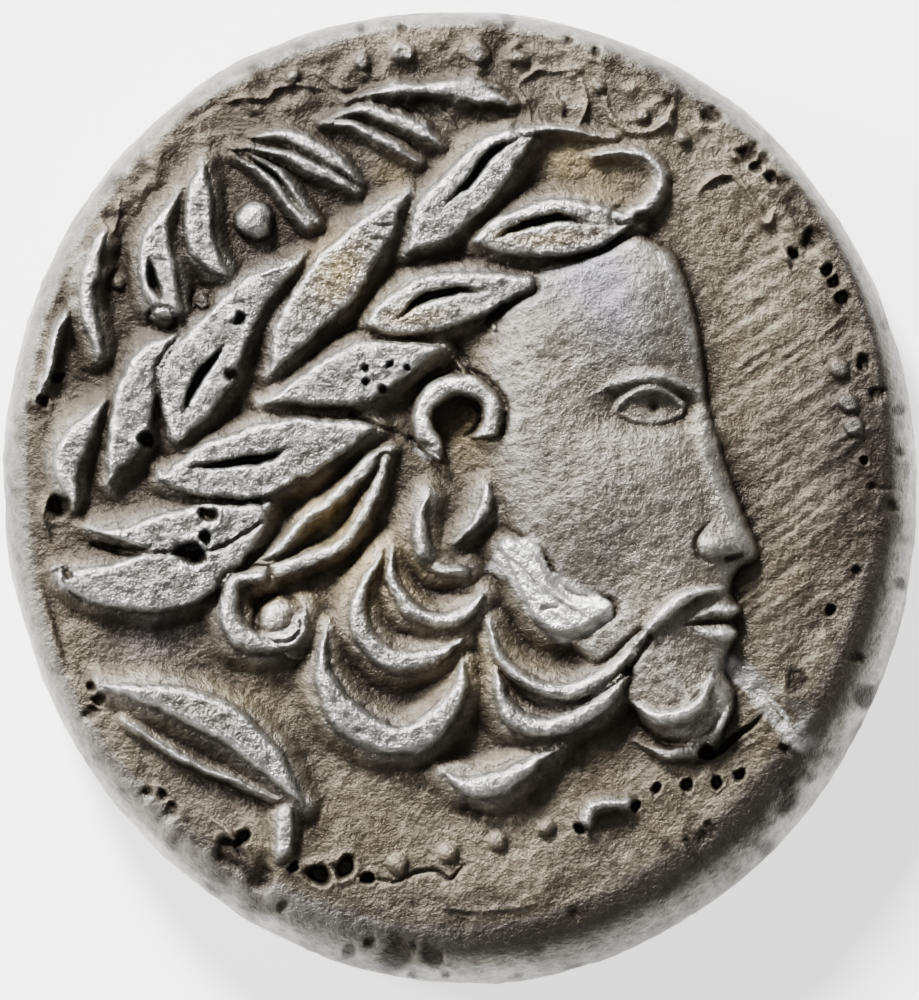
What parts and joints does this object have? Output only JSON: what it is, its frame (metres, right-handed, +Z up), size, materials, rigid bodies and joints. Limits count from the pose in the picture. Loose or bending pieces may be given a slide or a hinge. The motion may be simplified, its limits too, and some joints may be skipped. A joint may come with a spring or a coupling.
{
  "type": "struck silver coin",
  "caption": "Thick hand-struck silver coin with an uneven outline, a laureate bearded head in high relief above and a horse in low relief beneath; lies flat as loose change or treasure.",
  "frame": {"origin": "middle of the coin's outline, at the surface that it lies on", "axes": "+X to the right of the head, +Y to the top of the head, +Z up through the coin's thickness"},
  "size_m": [0.0226, 0.024, 0.0041],
  "materials": {
    "silver": "worn struck silver, dull bright on the high points and dark with patina in the hollows"
  },
  "bodies": {
    "root": {"coin": "silver"}
  },
  "joints": []
}
